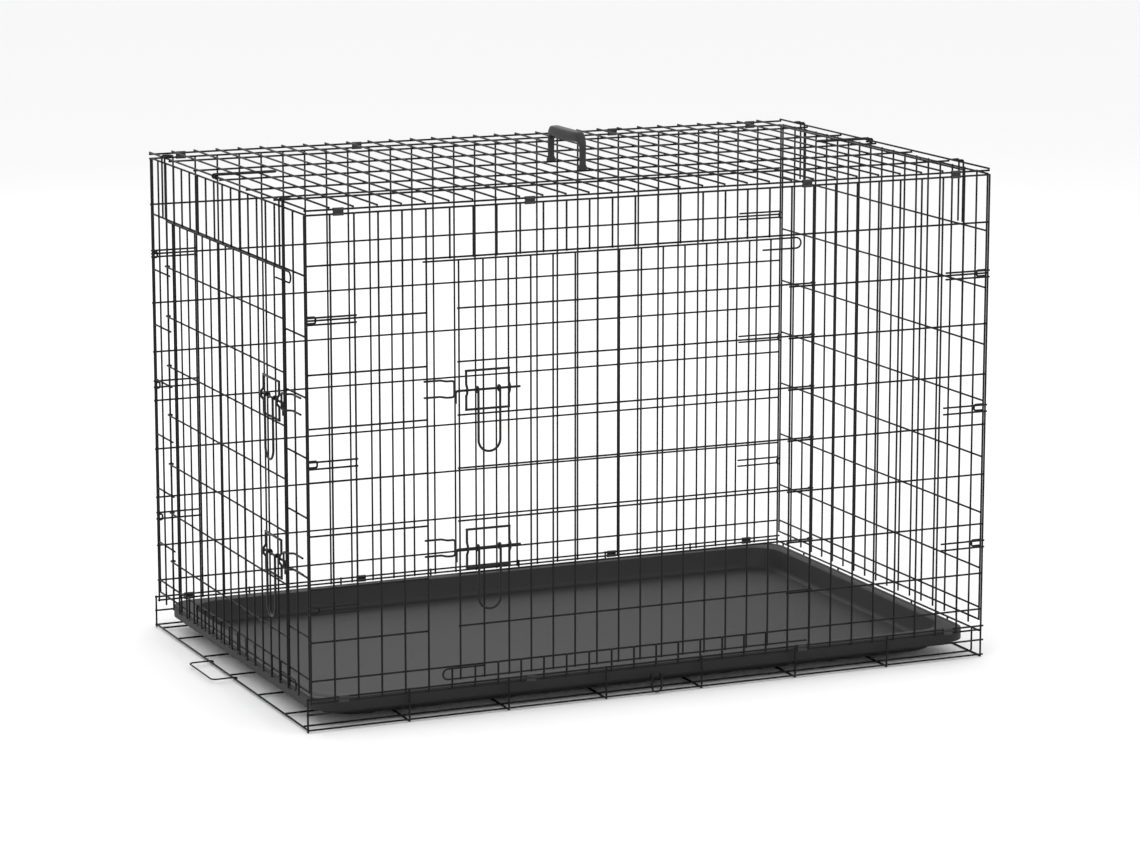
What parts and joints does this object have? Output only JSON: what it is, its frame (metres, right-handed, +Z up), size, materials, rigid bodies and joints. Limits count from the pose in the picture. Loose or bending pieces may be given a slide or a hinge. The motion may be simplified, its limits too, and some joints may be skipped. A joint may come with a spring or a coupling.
{
  "type": "wire dog crate",
  "caption": "Folding wire dog crate with a front and an end door, slide-bolt latches, a slide-out plastic tray and a carry handle on top.",
  "frame": {"origin": "middle of the whole footprint, at ground level", "axes": "+X along the crate towards its right end, +Y from the front door towards the back panel, +Z up"},
  "size_m": [1.2518, 0.7866, 0.8908],
  "materials": {
    "coated_wire": "satin black baked coating",
    "latch_wire": "semi-gloss black coating",
    "clip_steel": "satin black",
    "tray_plastic": "fine pebbled",
    "handle_plastic": "fine grained"
  },
  "bodies": {
    "base": {"base_floor": "coated_wire", "base_front_lip": "coated_wire", "base_back_lip": "coated_wire", "base_right_end": "coated_wire"},
    "front_panel": {"front_left_mesh": "coated_wire", "front_right_mesh": "coated_wire", "front_header": "coated_wire", "front_sill": "coated_wire", "front_slot_guides": "coated_wire", "front_bottom_clips": "clip_steel", "front_upper_keeper": "latch_wire", "front_lower_keeper": "latch_wire"},
    "front_door": {"front_door_uprights": "coated_wire", "front_door_levels": "coated_wire", "front_door_edges": "coated_wire", "front_upper_frame": "latch_wire", "front_lower_frame": "latch_wire"},
    "front_upper_bolt": {"front_upper_bolt": "latch_wire"},
    "front_upper_handle": {"front_upper_handle": "latch_wire"},
    "front_lower_bolt": {"front_lower_bolt": "latch_wire"},
    "front_lower_handle": {"front_lower_handle": "latch_wire"},
    "back_panel": {"back_mesh": "coated_wire", "back_levels": "coated_wire", "back_slot_guides": "coated_wire", "back_bottom_clips": "clip_steel"},
    "top_panel": {"top_long_wires": "coated_wire", "top_cross_wires": "coated_wire", "front_top_clips": "clip_steel", "back_top_clips": "clip_steel", "carry_handle": "handle_plastic"},
    "left_top_bail": {"left_top_bail": "coated_wire"},
    "right_top_bail": {"right_top_bail": "coated_wire"},
    "left_end": {"left_end_frame": "coated_wire", "left_end_mesh": "coated_wire", "left_end_header": "coated_wire", "left_end_sill": "coated_wire", "left_hinge_loops": "coated_wire", "left_end_hooks": "coated_wire", "end_upper_keeper": "latch_wire", "end_lower_keeper": "latch_wire"},
    "end_door": {"end_door_uprights": "coated_wire", "end_door_levels": "coated_wire", "end_door_edges": "coated_wire", "end_upper_frame": "latch_wire", "end_lower_frame": "latch_wire"},
    "end_upper_bolt": {"end_upper_bolt": "latch_wire"},
    "end_upper_handle": {"end_upper_handle": "latch_wire"},
    "end_lower_bolt": {"end_lower_bolt": "latch_wire"},
    "end_lower_handle": {"end_lower_handle": "latch_wire"},
    "right_end": {"right_end_frame": "coated_wire", "right_end_mesh": "coated_wire", "right_end_levels": "coated_wire", "right_hinge_loops": "coated_wire", "right_end_hooks": "coated_wire"},
    "tray": {"tray": "tray_plastic"},
    "pan_stop": {"pan_stop": "coated_wire"},
    "fold_hook": {"fold_hook": "coated_wire"}
  },
  "joints": [
    {"name": "fold", "type": "hinge", "parent": "base", "child": "front_panel", "pos_m": [0, -0.37349, 0.0542], "axis": [1, 0, 0], "range_deg": [-86, 0]},
    {"name": "back_fold", "type": "hinge", "parent": "base", "child": "back_panel", "pos_m": [0, 0.38851, 0.0542], "axis": [1, 0, 0], "range_deg": [-86, 0]},
    {"name": "top_level", "type": "hinge", "parent": "front_panel", "child": "top_panel", "pos_m": [0, -0.37377, 0.82], "axis": [1, 0, 0], "range_deg": [0, 86]},
    {"name": "left_end_swing", "type": "hinge", "parent": "top_panel", "child": "left_end", "pos_m": [-0.58095, 0, 0.83042], "axis": [0, 1, 0], "range_deg": [0, 190]},
    {"name": "right_end_swing", "type": "hinge", "parent": "top_panel", "child": "right_end", "pos_m": [0.61905, 0, 0.83042], "axis": [0, -1, 0], "range_deg": [0, 190]},
    {"name": "front_door_swing", "type": "hinge", "parent": "front_panel", "child": "front_door", "pos_m": [0.29355, -0.37719, 0.4], "axis": [0, 0, 1], "range_deg": [0, 165]},
    {"name": "end_door_swing", "type": "hinge", "parent": "left_end", "child": "end_door", "pos_m": [-0.58437, 0.29409, 0.4], "axis": [0, 0, -1], "range_deg": [0, 165]},
    {"name": "front_upper_bolt_slide", "type": "slide", "parent": "front_door", "child": "front_upper_bolt", "axis": [1, 0, 0], "range_m": [-0.0128, 0]},
    {"name": "front_upper_handle_lift", "type": "hinge", "parent": "front_upper_bolt", "child": "front_upper_handle", "pos_m": [-0.28095, -0.38726, 0.5309], "axis": [-1, 0, 0], "range_deg": [0, 105]},
    {"name": "front_lower_bolt_slide", "type": "slide", "parent": "front_door", "child": "front_lower_bolt", "axis": [1, 0, 0], "range_m": [-0.0128, 0]},
    {"name": "front_lower_handle_lift", "type": "hinge", "parent": "front_lower_bolt", "child": "front_lower_handle", "pos_m": [-0.28095, -0.38726, 0.2763], "axis": [-1, 0, 0], "range_deg": [0, 105]},
    {"name": "end_upper_bolt_slide", "type": "slide", "parent": "end_door", "child": "end_upper_bolt", "axis": [0, 1, 0], "range_m": [-0.0128, 0]},
    {"name": "end_upper_handle_lift", "type": "hinge", "parent": "end_upper_bolt", "child": "end_upper_handle", "pos_m": [-0.59444, -0.25349, 0.517], "axis": [0, 1, 0], "range_deg": [0, 105]},
    {"name": "end_lower_bolt_slide", "type": "slide", "parent": "end_door", "child": "end_lower_bolt", "axis": [0, 1, 0], "range_m": [-0.0128, 0]},
    {"name": "end_lower_handle_lift", "type": "hinge", "parent": "end_lower_bolt", "child": "end_lower_handle", "pos_m": [-0.59444, -0.25349, 0.263], "axis": [0, 1, 0], "range_deg": [0, 105]},
    {"name": "tray_slide", "type": "slide", "parent": "base", "child": "tray", "axis": [1, 0, 0], "range_m": [-1.19, 0]},
    {"name": "pan_stop_swing", "type": "hinge", "parent": "base", "child": "pan_stop", "pos_m": [-0.58465, 0, 0.00482], "axis": [0, 1, 0], "range_deg": [0, 88]},
    {"name": "fold_hook_swing", "type": "hinge", "parent": "base", "child": "fold_hook", "pos_m": [0, -0.37349, 0.03], "axis": [-1, 0, 0], "range_deg": [0, 150]},
    {"name": "left_bail_swing", "type": "hinge", "parent": "top_panel", "child": "left_top_bail", "pos_m": [-0.58095, 0, 0.83042], "axis": [0, -1, 0], "range_deg": [0, 180]},
    {"name": "right_bail_swing", "type": "hinge", "parent": "top_panel", "child": "right_top_bail", "pos_m": [0.61905, 0, 0.83042], "axis": [0, 1, 0], "range_deg": [0, 180]}
  ],
  "couplings": [
    {"joint": "back_fold", "follows": "fold", "ratio": 1},
    {"joint": "top_level", "follows": "fold", "ratio": -1},
    {"joint": "left_end_swing", "follows": "fold", "ratio": -2.2093},
    {"joint": "right_end_swing", "follows": "fold", "ratio": -2.2093}
  ]
}
